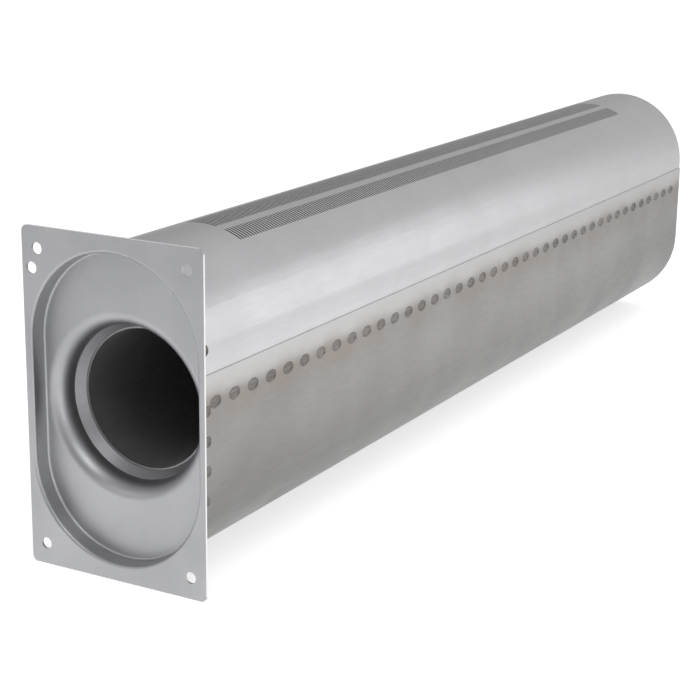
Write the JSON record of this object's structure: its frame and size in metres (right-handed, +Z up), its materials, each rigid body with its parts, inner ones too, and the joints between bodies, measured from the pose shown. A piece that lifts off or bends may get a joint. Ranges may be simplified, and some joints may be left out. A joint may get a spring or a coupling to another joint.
{
  "type": "slotted gas burner bar",
  "caption": "Long obround sheet-steel gas burner with slotted top deck, bolt-on front flange, dished bell-mouth inlet and spot-welded seams.",
  "frame": {"origin": "centre of the flange's four bolt holes, on the flange's front face", "axes": "+X right seen from the front, +Y into the burner tube away from the front face, +Z up through the slotted deck"},
  "size_m": [0.0754, 0.487, 0.125],
  "materials": {
    "flange_steel": "matte rolled stainless sheet",
    "deck_steel": "satin stainless sheet",
    "trough_steel": "dull stainless sheet",
    "weld_metal": "pressed spot-weld faces",
    "inner_steel": "dull sheet inside the burner"
  },
  "bodies": {
    "root": {"mounting_flange": "flange_steel", "slotted_deck": "deck_steel", "lower_trough": "trough_steel", "seam_welds_right": "weld_metal", "seam_welds_left": "weld_metal", "deck_flange_welds": "weld_metal", "trough_flange_welds": "weld_metal", "end_cap": "trough_steel", "inlet_cone": "inner_steel", "mixing_tube": "inner_steel", "front_tube_support": "inner_steel", "rear_tube_support": "inner_steel", "distribution_baffle": "inner_steel"}
  },
  "joints": []
}
